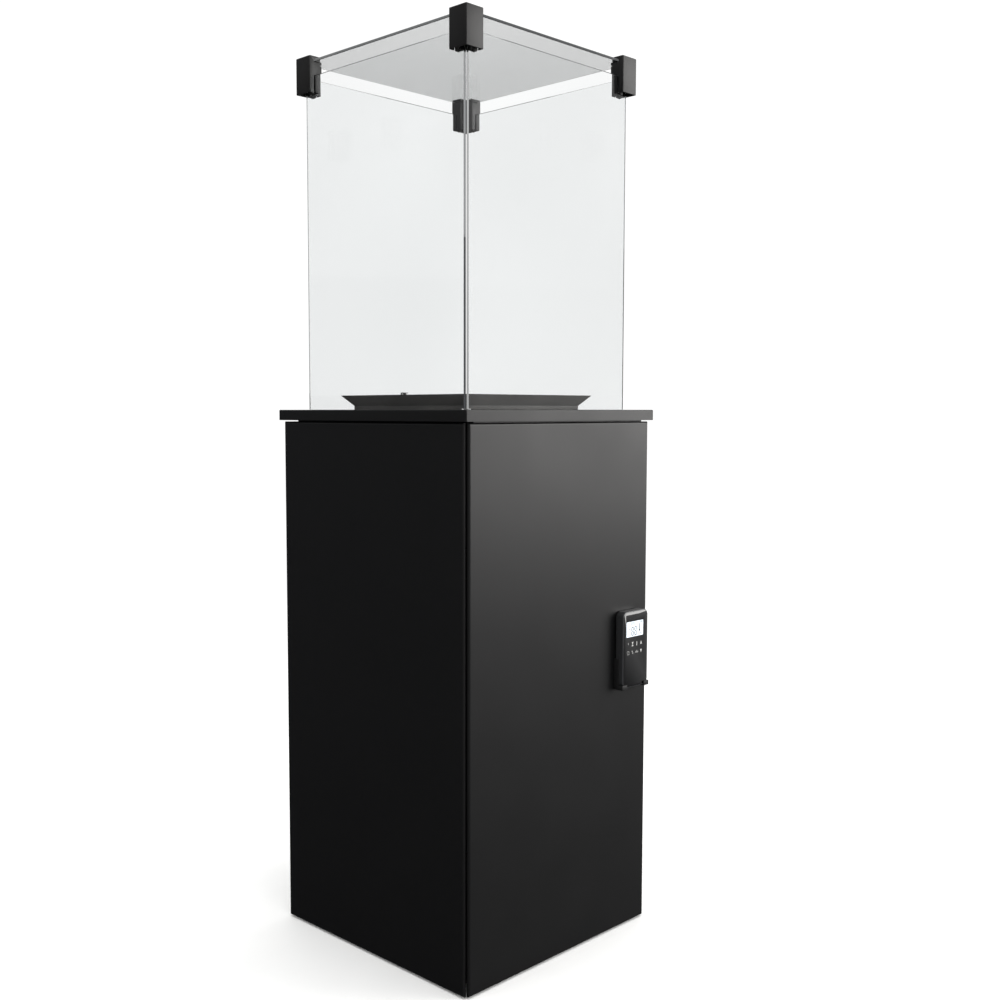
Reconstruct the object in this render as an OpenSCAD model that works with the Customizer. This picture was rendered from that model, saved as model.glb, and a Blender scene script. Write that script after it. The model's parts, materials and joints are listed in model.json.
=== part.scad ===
// Free-standing gas patio heater: a square steel cabinet for the gas bottle, a burner pan on its top
// plate, and a flame chamber of four glass walls under a glass lid that four corner clips hold.
// Millimetres, +Z up, the door faces -Y, and the origin is on the floor under the cabinet's centre.

/* [Cabinet] */
// Outside width and depth of the cabinet
cabinet_w = 405; // [400:1:408]
// Height of the cabinet's panels
panel_h = 788; // [780:1:796]
// Gap between the floor and the lower edge of the panels
floor_gap = 3; // [2:0.5:5]
// Thickness of the panel sheet
sheet_t = 1.5; // [1.2:0.1:1.8]
// Outside radius of the panels' folded edges
bend_r = 3.2; // [2.5:0.1:3.6]
// How far each panel stops short of the cabinet's corner
corner_setback = 5.3; // [5:0.1:6]
// Height of the bottle floor above the panels' lower edge
floor_lift = 30; // [24:1:34]

/* [Top plate] */
// Outside width of the top plate
plate_w = 412; // [410:1:416]
// Height of the top plate's edge
plate_h = 16; // [14:1:18]
// Shadow gap between the panels and the top plate
shadow_gap = 2; // [1.5:0.1:3]
// Thickness of the top plate's sheet
plate_t = 2; // [1.5:0.1:2.4]

/* [Glass] */
// Distance between the outer faces of opposite glass walls
glass_span = 348.5; // [346:0.5:350]
// Thickness of the glass
glass_t = 4; // [3.8:0.1:4.2]
// Height of the glass walls above the top plate
glass_h = 503; // [480:1:560]
// Open height between the walls and the lid
exhaust_gap = 20; // [18:1:26]

/* [Corner clips] */
// Height of a corner clip
clip_h = 54; // [50:1:60]
// Length of a clip's legs along the glass
clip_leg = 33; // [32:1:36]
// Thickness of a clip across the glass
clip_t = 21; // [20:0.5:22]
// How far a clip stands out from the glass
clip_out = 9; // [8.5:0.1:9.5]

/* [Burner] */
// Width of the burner pan at its foot
pan_foot_w = 243.5; // [240:0.5:246]
// Width of the burner pan at its rim
pan_rim_w = 273; // [264:1:280]
// Height of the straight foot of the pan
pan_foot_h = 6; // [5:0.5:8]
// Height of the pan
pan_h = 22; // [20:1:26]

/* [Handset] */
// Width of the handset
handset_w = 62; // [58:1:64]
// Height of the handset
handset_h = 118; // [114:1:122]
// Thickness of the handset
handset_t = 13.5; // [13:0.1:13.8]
// Height of the handset's lower edge above the floor
handset_z = 384; // [300:1:560]

/* [Smoothness] */
// Segments of round pieces
$fn = 48; // [24:4:96]

/* [Hidden] */

eps = 1;
half_w = cabinet_w / 2;
panel_w = cabinet_w - 2 * corner_setback;
lip = corner_setback - 1;
panel_top = floor_gap + panel_h;
plate_z = panel_top + shadow_gap;
plate_top = plate_z + plate_h;
plate_under = plate_top - plate_t;

// Inner frame: posts stand on the tray, behind the door's swing at the front.
post_out = half_w - 7.8;
post_front = -half_w + 21.5;
post_leg = 30;
post_t = 2;
tray_top = floor_gap + floor_lift + 2;
tray_edge = 15;
// A raised round seat for the bottle's foot ring, with vents for heavy gas in it.
seat_r = 156;
seat_h = 1;
vent_r = 18;
// The hose tail of the gas inlet stands over one of the vents.
inlet_x = -20;
inlet_y = -122;
frame_out = post_out - post_t - 0.1;
frame_front = post_front + post_t + 0.1;
frame_drop = 35;
frame_in = glass_span / 2 + 2.35;
bracket_zs = [90, 410, 730];
bracket_w = 22;
screw_r = 2;
side_front_y = post_front + post_leg / 2;
side_back_y = post_out - post_leg / 2;

// Levelling feet
foot_xy = 150;
foot_pad_r = 22;
foot_pad_h = 8;
stud_r = 4;
weld_nut_h = 8;

// Door pivots: the pin axis lies behind the door's lip, near its left edge.
pivot_x = -panel_w / 2 + 12;
pivot_y = -half_w + 5.5;
pin_r = 2.5;
pivot_h = 12;
pivot_plate_t = 3;
pivot_low_z = tray_top;
pivot_high_z = panel_top - 20;

// Glass chamber
glass_out = glass_span / 2;
glass_in = glass_out - glass_t;
glass_half = glass_in - 0.25;
tongue_half = glass_half - 4.5;
tongue_z = plate_under - 8.1;
gasket_t = 0.9;
channel_t = 1.2;
wall_top = plate_top + glass_h;
lid_z = wall_top + exhaust_gap;
clip_top = lid_z + glass_t + 4.5;
clip_z = clip_top - clip_h;
clip_out_plane = glass_out + clip_out;
clip_in_plane = clip_out_plane - clip_t;
clip_end = clip_out_plane - clip_leg;
clip_sheet = 2;

// Burner
pan_z = plate_top;
pan_t = 1.5;
plate_opening = 112;
pan_screw_xy = 117;
bed_z = pan_z + 13;
box_lo = [-72, -87, pan_z - 33];
box_hi = [102, 87, bed_z];
port_centre = [15, 0];
port_r = 2;
port_rings = [[30, 14], [50, 24], [70, 32]];
venturi_r = 12.5;
venturi_y = 40;
venturi_z = pan_z - 19;
venturi_x0 = -148;
shutter_x0 = -144;
shutter_x1 = -124;
shutter_r = 14.2;
window_w = 9;
pilot_xy = [-91, -45];
thermocouple_xy = [-101, -36];
electrode_xy = [-84, -56];
pilot_base_z = pan_z - 14;
shield_top = pan_z + pan_h + 1.5;

// Controls, hung behind the door under the front of the top frame
bracket_y = -150;
bracket_t = 1.5;
bracket_top = plate_z - 1;
valve_lo = [-60, bracket_y + bracket_t, 715];
valve_hi = [30, -100, 765];
shaft_z = 742;
shaft_r = 3;
flame_x = 5;
pilot_knob_x = -40;
knob_y = bracket_y - 2.5;
receiver_lo = [50, -179, 702];
receiver_hi = [150, bracket_y, 770];

// Handset on its cradle on the right-hand panel
handset_y = 150;
cradle_t = 1.5;
handset_x = half_w + cradle_t + 0.3;
face_t = 1.2;
handset_corner = 10;
display_w = 41.4;
display_h = 23.4;
display_y = handset_y - 1.3;
display_z = handset_z + handset_h - 28;
cover_w = 40;
cover_h = 50;

BLACK = [0.11, 0.11, 0.115];
DARK = [0.2, 0.2, 0.2];
STEEL = [0.72, 0.72, 0.7];
ZINC = [0.62, 0.64, 0.66];
BRASS = [0.78, 0.62, 0.32];
COPPER = [0.72, 0.45, 0.3];
GLASS = [0.85, 0.93, 0.92, 0.35];
RUBBER = [0.08, 0.08, 0.08];
CERAMIC = [0.93, 0.92, 0.88];

// ---- Helpers ----

// A box from its low corner to its high corner
module block(lo, hi) {
    translate(lo)
        cube(hi - lo);
}

// A rectangle whose two corners at y = 0 are rounded
module front_rounded(w, d, r) {
    intersection() {
        union() {
            translate([-w / 2, r])
                square([w, d]);
            translate([-w / 2 + r, 0])
                square([w - 2 * r, d]);
            for (side = [-1, 1])
                translate([side * (w / 2 - r), r])
                    circle(r);
        }
        translate([-w / 2, 0])
            square([w, d]);
    }
}

// A block with rounded edges round its face at y = 0
module cassette_block(w, d, h, r) {
    intersection() {
        linear_extrude(h)
            front_rounded(w, d, r);
        translate([w / 2 + eps, 0, h / 2])
            rotate([0, -90, 0])
                linear_extrude(w + 2 * eps)
                    front_rounded(h, d, r);
    }
}

// A folded steel panel: a shallow tray with its face at y = 0 and its lips turned inwards
module cassette(w, h, depth) {
    difference() {
        cassette_block(w, depth, h, bend_r);
        translate([0, sheet_t, sheet_t])
            cassette_block(w - 2 * sheet_t, depth + eps, h - 2 * sheet_t, bend_r - sheet_t);
    }
}

// Turns what faces -Y to the side that lies this many quarter turns on
module to_side(quarters) {
    rotate(90 * quarters)
        children();
}

// A square pyramid stump between two heights
module stump(half_low, half_high, z_low, z_high) {
    outline = [[-half_low, z_low], [half_low, z_low], [half_high, z_high], [-half_high, z_high]];
    reach = 2 * max(half_low, half_high) + 2 * eps;
    intersection() {
        rotate([90, 0, 0])
            linear_extrude(reach, center = true)
                polygon(outline);
        rotate([90, 0, 90])
            linear_extrude(reach, center = true)
                polygon(outline);
    }
}

// A hexagonal nut or head across its flats
module hexagon(flats, h) {
    cylinder(h = h, r = flats / sqrt(3), $fn = 6);
}

// A round bar between two points that differ along one axis only
module bar(a, b, r) {
    d = b - a;
    turn = abs(d[2]) > 0 ? [0, 0, 0] : abs(d[1]) > 0 ? [-90, 0, 0] : [0, 90, 0];
    low = [min(a[0], b[0]), min(a[1], b[1]), min(a[2], b[2])];
    translate(low)
        rotate(turn)
            cylinder(h = norm(d), r = r);
}

// One quarter bend of a tube at a corner, from direction d1 into direction d2
module elbow(corner, d1, d2, r, bend) {
    c = corner + bend * (d2 - d1);
    n = cross(d1, d2);
    multmatrix([
        [-d2[0], d1[0], n[0], c[0]],
        [-d2[1], d1[1], n[1], c[1]],
        [-d2[2], d1[2], n[2], c[2]],
        [0, 0, 0, 1]
    ])
        rotate_extrude(angle = 90)
            translate([bend, 0])
                circle(r);
}

// A tube along a route of square turns
module square_route(points, r, bend) {
    last = len(points) - 1;
    unit = [for (i = [0:last - 1]) (points[i + 1] - points[i]) / norm(points[i + 1] - points[i])];
    for (i = [0:last - 1]) {
        start = points[i] + (i == 0 ? 0 : bend) * unit[i];
        stop = points[i + 1] - (i == last - 1 ? 0 : bend) * unit[i];
        bar(start, stop, r);
    }
    for (i = [1:last - 1])
        elbow(points[i], unit[i - 1], unit[i], r, bend);
}

// ---- Cabinet ----

module base_tray() {
    color(BLACK)
        difference() {
            union() {
                block([-post_out, post_front, tray_top - 2], [post_out, post_out, tray_top]);
                difference() {
                    block([-post_out, post_front, tray_top - tray_edge],
                        [post_out, post_out, tray_top]);
                    block([-post_out + 2, post_front + 2, 0],
                        [post_out - 2, post_out - 2, tray_top - 1]);
                }
                for (x = [-1, 1])
                    for (y = [-1, 1])
                        translate([x * foot_xy, y * foot_xy, tray_top - 2 - weld_nut_h])
                            hexagon(13, weld_nut_h + 1);
                translate([0, 0, tray_top - 1])
                    cylinder(h = seat_h + 1, r = seat_r);
            }
            for (quarters = [0:3])
                to_side(quarters)
                    translate([inlet_x, inlet_y, tray_top - 3])
                        cylinder(h = 5, r = vent_r);
            for (x = [-1, 1])
                for (y = [-1, 1])
                    translate([x * foot_xy, y * foot_xy, 0])
                        cylinder(h = tray_top + eps, r = stud_r + 0.05);
            for (x = [-100:50:100])
                block([x - 12, 165, tray_top - 3], [x + 12, 173, tray_top + eps]);
        }
}

// A screw foot: a pad, a spanner collar and a threaded stud
module foot(x, y) {
    color(RUBBER)
        translate([x * foot_xy, y * foot_xy, 0]) {
            difference() {
                cylinder(h = foot_pad_h, r = foot_pad_r);
                translate([0, 0, foot_pad_h])
                    rotate_extrude()
                        translate([foot_pad_r, 0])
                            circle(2.5);
            }
            translate([0, 0, foot_pad_h - 0.5])
                hexagon(13, tray_top - 2 - weld_nut_h - foot_pad_h + 0.45);
            cylinder(h = tray_top + 12, r = stud_r);
        }
}

module foot_front_left() {
    foot(-1, -1);
}

module foot_front_right() {
    foot(1, -1);
}

module foot_back_left() {
    foot(-1, 1);
}

module foot_back_right() {
    foot(1, 1);
}

// An angle post with its outer corner at x_out, y_out and its legs turned to the cabinet's middle
module corner_post(x_out, y_out) {
    x_in = x_out - sign(x_out) * post_leg;
    y_in = y_out - sign(y_out) * post_leg;
    x_step = x_out - sign(x_out) * post_t;
    y_step = y_out - sign(y_out) * post_t;
    difference() {
        block([min(x_in, x_out), min(y_in, y_out), tray_top],
            [max(x_in, x_out), max(y_in, y_out), panel_top - 0.2]);
        block([min(x_in - sign(x_out) * eps, x_step), min(y_in - sign(y_out) * eps, y_step), 0],
            [max(x_in - sign(x_out) * eps, x_step), max(y_in - sign(y_out) * eps, y_step),
                plate_top]);
    }
}

// The places of the panel screws: side, height, and distance along the side from its middle
function side_spots(side) = side < 0 ? [-side_front_y, -side_back_y] : [side_front_y, side_back_y];

module at_side_screws() {
    for (quarters = [1, 3])
        for (spot = side_spots(quarters == 1 ? 1 : -1))
            for (z = bracket_zs)
                to_side(quarters)
                    translate([spot, -post_out, z])
                        rotate([90, 0, 0])
                            children();
    for (spot = [-side_back_y, side_back_y])
        for (z = bracket_zs)
            to_side(2)
                translate([spot, -post_out, z])
                    rotate([90, 0, 0])
                        children();
}

module corner_posts() {
    color(BLACK)
        difference() {
            union() {
                for (x = [-1, 1]) {
                    corner_post(x * post_out, post_front);
                    corner_post(x * post_out, post_out);
                }
            }
            at_side_screws()
                translate([0, 0, -post_t - eps])
                    cylinder(h = post_t + 2 * eps, r = screw_r + 0.3);
        }
}

module top_frame() {
    color(BLACK)
        difference() {
            block([-frame_out, frame_front, plate_under - frame_drop],
                [frame_out, frame_out, plate_under]);
            block([-frame_out + post_t, frame_front + post_t, plate_under - frame_drop - eps],
                [frame_out - post_t, frame_out - post_t, plate_under - post_t]);
            block([-frame_in, -frame_in, 0], [frame_in, frame_in, plate_top]);
            at_plate_studs()
                translate([0, 0, plate_under - 5])
                    cylinder(h = 8, r = 2.8);
        }
}

// A fixed panel with the screw blocks welded behind its face
module fixed_panel(spots) {
    difference() {
        union() {
            translate([0, -half_w, floor_gap])
                cassette(panel_w, panel_h, lip);
            for (spot = spots)
                for (z = bracket_zs)
                    block([spot - bracket_w / 2, -half_w + sheet_t - 0.2, z - 11],
                        [spot + bracket_w / 2, -post_out, z + 11]);
        }
        for (spot = spots)
            for (z = bracket_zs)
                translate([spot, -post_out + eps, z])
                    rotate([90, 0, 0])
                        cylinder(h = 5 + eps, r = screw_r + 0.05);
    }
}

module side_panel_left() {
    color(BLACK)
        to_side(3)
            fixed_panel(side_spots(-1));
}

module side_panel_right() {
    color(BLACK)
        to_side(1)
            fixed_panel(side_spots(1));
}

module back_panel() {
    color(BLACK)
        to_side(2)
            fixed_panel([-side_back_y, side_back_y]);
}

module door_panel() {
    color(BLACK)
        translate([0, -half_w, floor_gap])
            cassette(panel_w, panel_h, lip);
}

// Two hat sections welded up the inside of the door
module door_stiffeners() {
    color(BLACK)
        for (x = [-90, 90])
            difference() {
                block([x - 20, -half_w + sheet_t, 120], [x + 20, -half_w + 11, 640]);
                block([x - 18.8, -half_w, 119], [x + 18.8, -half_w + 9.8, 641]);
            }
}

// The door's pivot plates, each with a bearing hole for a pin
module door_hinge_plates() {
    color(ZINC)
        for (z = [pivot_low_z + pivot_plate_t + 0.1, pivot_high_z - 2 * pivot_plate_t - 1])
            difference() {
                union() {
                    block([pivot_x - 8, -half_w + sheet_t, z],
                        [pivot_x + 34, pivot_y + 7, z + pivot_plate_t]);
                    block([pivot_x + 12, -half_w + sheet_t, z - 10],
                        [pivot_x + 34, -half_w + sheet_t + 2, z + 12]);
                }
                translate([pivot_x, pivot_y, z - eps])
                    cylinder(h = 5, r = pin_r + 0.05);
            }
}

// A fixed pivot plate: its nose holds the pin, and its leaf is screwed to the post behind
module hinge_bracket(z, leaf_z) {
    nose_r = 3.9;
    difference() {
        union() {
            translate([pivot_x, pivot_y, z])
                cylinder(h = pivot_plate_t, r = nose_r);
            block([pivot_x, pivot_y - nose_r, z],
                [pivot_x + 11, pivot_y + nose_r, z + pivot_plate_t]);
            block([pivot_x + 5, pivot_y, z], [pivot_x + 16, post_front, z + pivot_plate_t]);
            block([pivot_x + 5, post_front - 2, leaf_z], [pivot_x + 20, post_front, leaf_z + 24]);
        }
        translate([pivot_x, pivot_y, z - eps])
            cylinder(h = pivot_plate_t + 2 * eps, r = pin_r);
    }
}

module hinge_brackets() {
    color(ZINC) {
        hinge_bracket(pivot_low_z, pivot_low_z);
        hinge_bracket(pivot_high_z - pivot_plate_t, pivot_high_z - 24);
    }
}

module hinge_pins() {
    color(STEEL) {
        translate([pivot_x, pivot_y, pivot_low_z])
            cylinder(h = pivot_h, r = pin_r);
        translate([pivot_x, pivot_y, pivot_high_z - pivot_h])
            cylinder(h = pivot_h, r = pin_r);
    }
}

// Magnet catches on the right-hand front post, which hold the steel door shut
module door_catches() {
    color(DARK)
        for (z = [180, 600])
            difference() {
                block([post_out - 28, -half_w + sheet_t + 0.4, z - 20],
                    [post_out - 10, post_front, z + 20]);
                for (side = [-1, 1])
                    block([post_out - 22 + side * 3 - 1, -half_w, z - 15],
                        [post_out - 22 + side * 3 + 1, -half_w + sheet_t + 2, z + 15]);
            }
}

// Panel screws, the nuts of the top plate and the four screws of the burner pan
module machine_screws() {
    color(ZINC) {
        at_side_screws()
            translate([0, 0, -post_t]) {
                cylinder(h = post_t + 4.5, r = screw_r);
                translate([0, 0, -2.4])
                    cylinder(h = 2.4, r = 4);
            }
        at_plate_studs()
            translate([0, 0, plate_under - post_t - 4])
                difference() {
                    hexagon(8, 4);
                    translate([0, 0, -eps])
                        cylinder(h = 6, r = 2.55);
                }
        at_pan_screws()
            translate([0, 0, pan_z - plate_t]) {
                cylinder(h = plate_t + pan_t, r = screw_r);
                translate([0, 0, plate_t + pan_t])
                    cylinder(h = 2.2, r = 3);
            }
    }
}

// ---- Top plate and glass ----

module at_plate_studs() {
    for (x = [-1, 1])
        for (y = [-1, 1])
            translate([x * (frame_in + 7), y * 90, 0])
                children();
}

module at_pan_screws() {
    for (x = [-1, 1])
        for (y = [-1, 1])
            translate([x * pan_screw_xy, y * pan_screw_xy, 0])
                children();
}

// The square of the top plate, its corners rounded with a radius r
module plate_outline(w, r) {
    square([w - 2 * r, w], center = true);
    square([w, w - 2 * r], center = true);
    for (x = [-1, 1])
        for (y = [-1, 1])
            translate([x * (w / 2 - r), y * (w / 2 - r)])
                circle(r);
}

// A folded lid with the four channels and the fixing studs welded under it
module top_plate() {
    color(BLACK)
        difference() {
            translate([0, 0, plate_z])
                linear_extrude(plate_h)
                    plate_outline(plate_w, 2);
            difference() {
                block([-plate_w / 2 + plate_t, -plate_w / 2 + plate_t, plate_z - eps],
                    [plate_w / 2 - plate_t, plate_w / 2 - plate_t, plate_under]);
                for (quarters = [0:3])
                    to_side(quarters)
                        glass_channel();
                at_plate_studs()
                    translate([0, 0, plate_under - 10])
                        cylinder(h = 10 + eps, r = 2.5);
            }
            for (quarters = [0:3])
                to_side(quarters)
                    block([-tongue_half - 0.5, -glass_out - 0.35, plate_under - eps],
                        [tongue_half + 0.5, -glass_in + 0.35, plate_top + eps]);
            block([-plate_opening, -plate_opening, plate_z],
                [plate_opening, plate_opening, plate_top + eps]);
            at_pan_screws()
                translate([0, 0, plate_z])
                    cylinder(h = plate_h + eps, r = screw_r + 0.05);
        }
}

// The folded channel under a slot, which the foot of a glass wall stands in
module glass_channel() {
    low = tongue_z - 1.5 - channel_t;
    difference() {
        block([-tongue_half - 2.5, -glass_out - gasket_t - channel_t - 0.05, low],
            [tongue_half + 2.5, -glass_in + gasket_t + channel_t + 0.05, plate_under + eps]);
        block([-tongue_half - 3.5, -glass_out - gasket_t - 0.05, low + channel_t],
            [tongue_half + 3.5, -glass_in + gasket_t + 0.05, plate_under]);
    }
}

// Soft U strips round the feet of the glass walls
module seat_gaskets() {
    color(RUBBER)
        for (quarters = [0:3])
            to_side(quarters)
                difference() {
                    block([-tongue_half - 2, -glass_out - gasket_t, tongue_z - 1.5],
                        [tongue_half + 2, -glass_in + gasket_t, plate_under - 0.2]);
                    block([-tongue_half - 2 - eps, -glass_out, tongue_z],
                        [tongue_half + 2 + eps, -glass_in, plate_top]);
                }
}

// A glass wall with a stepped foot
module glass_wall(quarters) {
    color(GLASS)
        to_side(quarters) {
            block([-glass_half, -glass_out, plate_top + 0.3], [glass_half, -glass_in, wall_top]);
            block([-tongue_half, -glass_out, tongue_z], [tongue_half, -glass_in, plate_top + 0.3]);
        }
}

module glass_front() {
    glass_wall(0);
}

module glass_right() {
    glass_wall(1);
}

module glass_back() {
    glass_wall(2);
}

module glass_left() {
    glass_wall(3);
}

module glass_lid() {
    color(GLASS)
        block([-glass_out, -glass_out, lid_z], [glass_out, glass_out, lid_z + glass_t]);
}

// The L of a clip in plan at the front right corner, drawn inwards by inset
module clip_outline(inset) {
    out = clip_out_plane - inset;
    inner = clip_in_plane + inset;
    end = clip_end + inset;
    translate([inner, -out])
        square([out - inner, out - end]);
    translate([end, -out])
        square([out - end, out - inner]);
}

// A folded corner clip at the front right corner
module corner_clip() {
    difference() {
        translate([0, 0, clip_z])
            linear_extrude(clip_h)
                clip_outline(0);
        translate([0, 0, clip_z - eps])
            linear_extrude(clip_h - clip_sheet + eps)
                clip_outline(clip_sheet);
        // the lid's notch, open to the inside
        block([clip_end - eps, -glass_out - 0.3, lid_z - 0.2],
            [glass_out + 0.3, -clip_end + eps, lid_z + glass_t + 0.2]);
        // the slots that the two walls pass through
        block([clip_end - eps, -glass_out - 0.2, clip_z - eps],
            [clip_end + clip_sheet + eps, -glass_in + 0.2, wall_top + 0.3]);
        block([glass_in - 0.2, -clip_end - clip_sheet - eps, clip_z - eps],
            [glass_out + 0.2, -clip_end + eps, wall_top + 0.3]);
    }
}

module clip_front_right() {
    color(DARK)
        corner_clip();
}

module clip_back_right() {
    color(DARK)
        to_side(1)
            corner_clip();
}

module clip_back_left() {
    color(DARK)
        to_side(2)
            corner_clip();
}

module clip_front_left() {
    color(DARK)
        to_side(3)
            corner_clip();
}

// A tongue of an insert beside the front wall, with a round end
module insert_tongue(y) {
    x0 = clip_end + 4;
    block([x0, y, clip_z], [x0 + 6, y + 1.5, wall_top + 0.2]);
    translate([x0 + 3, y + 1.5, clip_z])
        rotate([90, 0, 0])
            cylinder(h = 1.5, r = 3);
}

// Moulded inserts: a spacer between walls and lid, and two tongues astride each wall
module clip_inserts() {
    color(RUBBER)
        for (quarters = [0:3])
            to_side(quarters) {
                translate([0, 0, wall_top + 0.1])
                    linear_extrude(exhaust_gap - 0.2)
                        clip_outline(clip_sheet + 0.2);
                for (y = [-glass_out - 1.6, -glass_in + 0.1]) {
                    insert_tongue(y);
                    mirror([1, 1, 0])
                        insert_tongue(y);
                }
            }
}

// ---- Burner ----

module burner_pan() {
    foot = pan_foot_w / 2;
    rim = pan_rim_w / 2;
    color(DARK)
        difference() {
            union() {
                block([-foot, -foot, pan_z], [foot, foot, pan_z + pan_foot_h]);
                stump(foot, rim, pan_z + pan_foot_h, pan_z + pan_h);
            }
            block([-foot + pan_t, -foot + pan_t, pan_z + pan_t],
                [foot - pan_t, foot - pan_t, pan_z + pan_foot_h]);
            stump(foot - pan_t, rim - pan_t, pan_z + pan_foot_h, pan_z + pan_h);
            block([box_lo[0] - 1, box_lo[1] - 1, pan_z - eps], [box_hi[0] + 1, box_hi[1] + 1, pan_z + 3]);
            block([-108, -64, pan_z - eps], [-80, -26, pan_z + 3]);
            at_pan_screws()
                translate([0, 0, pan_z - eps])
                    cylinder(h = 4, r = screw_r + 0.3);
        }
}

// The flat plate over the burner, with rings of flame ports
module burner_plate() {
    half = 116;
    color(STEEL)
        difference() {
            union() {
                block([-half, -half, bed_z], [half, half, bed_z + pan_t]);
                for (side = [-1, 1])
                    block([-90, side * half - (side > 0 ? pan_t : 0), pan_z + pan_t],
                        [90, side * half + (side > 0 ? 0 : pan_t), bed_z + 0.5]);
            }
            block([-108, -64, bed_z - eps], [-66, -26, bed_z + 3]);
            translate([port_centre[0], port_centre[1], bed_z - eps])
                for (ring = port_rings)
                    for (i = [0:ring[1] - 1])
                        rotate(360 * i / ring[1])
                            translate([ring[0], 0, 0])
                                cylinder(h = 4, r = port_r, $fn = 16);
        }
}

// The sheet box that the gas and air fill under the plate
module burner_box() {
    t = [1.5, 1.5, 1.5];
    color(STEEL)
        difference() {
            union() {
                block(box_lo, box_hi);
                block([box_lo[0] - 6, box_lo[1] - 6, pan_z + pan_t],
                    [box_hi[0] + 6, box_hi[1] + 6, pan_z + 2 * pan_t]);
            }
            block(box_lo + t, [box_hi[0] - 1.5, box_hi[1] - 1.5, box_hi[2] + eps]);
            translate([box_lo[0] - eps, venturi_y, venturi_z])
                rotate([0, 90, 0])
                    cylinder(h = 4, r = venturi_r + 0.05);
        }
}

// Three air windows round the venturi's axis
module air_windows(x0, x1) {
    for (turn = [0, 120, 240])
        translate([0, venturi_y, venturi_z])
            rotate([turn, 0, 0])
                block([x0, -window_w / 2, 0], [x1, window_w / 2, 20]);
}

module along_venturi(x0, x1, r) {
    translate([x0, venturi_y, venturi_z])
        rotate([0, 90, 0])
            cylinder(h = x1 - x0, r = r);
}

module venturi_tube() {
    color(STEEL)
        difference() {
            along_venturi(venturi_x0, box_lo[0] + 8, venturi_r);
            along_venturi(venturi_x0 + 1.5, box_lo[0] + 9, venturi_r - 1.5);
            along_venturi(venturi_x0 - eps, venturi_x0 + 3, 5.05);
            air_windows(shutter_x0 + 5, shutter_x1 - 5);
        }
}

module air_shutter() {
    color(ZINC)
        difference() {
            union() {
                along_venturi(shutter_x0, shutter_x1, shutter_r);
                translate([shutter_x1 - 5, venturi_y, venturi_z])
                    rotate([180, 0, 0])
                        block([0, -3, 10], [4, 3, shutter_r + 6]);
            }
            along_venturi(shutter_x0 - eps, shutter_x1 + eps, venturi_r + 0.06);
            air_windows(shutter_x0 + 4, shutter_x1 - 6);
        }
}

// The brass elbow that holds the jet in the venturi's mouth
module injector() {
    color(BRASS) {
        difference() {
            union() {
                block([venturi_x0 - 18, venturi_y - 8, venturi_z - 8],
                    [venturi_x0 - 2, venturi_y + 8, venturi_z + 8]);
                along_venturi(venturi_x0 - 2.5, venturi_x0 + 8, 5);
            }
            along_venturi(venturi_x0 - 10, venturi_x0 + 9, 0.8);
        }
        translate([venturi_x0 + 8, venturi_y, venturi_z])
            rotate([0, 90, 0])
                difference() {
                    cylinder(h = 4, r1 = 4, r2 = 2);
                    translate([0, 0, -eps])
                        cylinder(h = 6, r = 0.8);
                }
    }
}

// The low cover over the pilot, standing on the burner plate
module pilot_shield() {
    lo = [-112, -69];
    hi = [-62, -21];
    color(DARK)
        difference() {
            union() {
                block([lo[0], lo[1], shield_top - 1.5], [hi[0], hi[1], shield_top]);
                block([lo[0], lo[1], bed_z + pan_t], [hi[0], lo[1] + 1.5, shield_top]);
                block([lo[0], hi[1] - 1.5, bed_z + pan_t], [hi[0], hi[1], shield_top]);
            }
            block([-106, -62, shield_top - 3], [-79, -31, shield_top + eps]);
        }
}

// The pilot's mounting plate, its tube and its hood
module pilot_burner() {
    color(ZINC)
        difference() {
            union() {
                block([-111, -68, pan_z - 1.5], [-75, -22, pan_z]);
                translate([pilot_xy[0], pilot_xy[1], pilot_base_z])
                    cylinder(h = shield_top + 1 - pilot_base_z, r = 4);
                translate([pilot_xy[0], pilot_xy[1], pilot_base_z])
                    hexagon(11, 8);
                difference() {
                    translate([pilot_xy[0], pilot_xy[1], shield_top - 4])
                        cylinder(h = 7.5, r = 6);
                    block([pilot_xy[0] - 2, pilot_xy[1] - 7, shield_top + 0.5],
                        [pilot_xy[0] + 7, pilot_xy[1] + 7, shield_top + 2.5]);
                }
            }
            translate([pilot_xy[0], pilot_xy[1], pilot_base_z - eps])
                cylinder(h = 8, r = 2.05);
            translate([thermocouple_xy[0], thermocouple_xy[1], pan_z - 3])
                cylinder(h = 5, r = 2.3);
            translate([electrode_xy[0], electrode_xy[1], pan_z - 3])
                cylinder(h = 5, r = 3.1);
        }
}

module thermocouple() {
    x = thermocouple_xy[0];
    y = thermocouple_xy[1];
    color(COPPER) {
        translate([x, y, pilot_base_z])
            cylinder(h = shield_top + 3 - pilot_base_z, r = 1.6);
        translate([x, y, pan_z])
            cylinder(h = 8, r = 2.6);
        square_route([[x, y, pilot_base_z + 1], [x, y, 780], [x, -108, 780], [-28, -108, 780],
            [-28, -108, 765]], 1, 6);
        translate([-28, -108, 765])
            hexagon(7, 5);
    }
}

module spark_electrode() {
    x = electrode_xy[0];
    y = electrode_xy[1];
    color(CERAMIC) {
        translate([x, y, pilot_base_z])
            cylinder(h = shield_top - 5 - pilot_base_z, r = 3);
        translate([x, y, shield_top - 5])
            cylinder(h = 9, r = 0.9);
        translate([x, y, shield_top + 3.5])
            rotate([0, 90, 122])
                cylinder(h = 5, r = 0.9);
    }
}

module main_gas_pipe() {
    elbow_x = venturi_x0 - 10;
    color(COPPER)
        square_route([[valve_lo[0] - 8, -123, 738], [elbow_x, -123, 738],
            [elbow_x, -123, venturi_z], [elbow_x, venturi_y - 8, venturi_z]], 4, 14);
}

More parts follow.
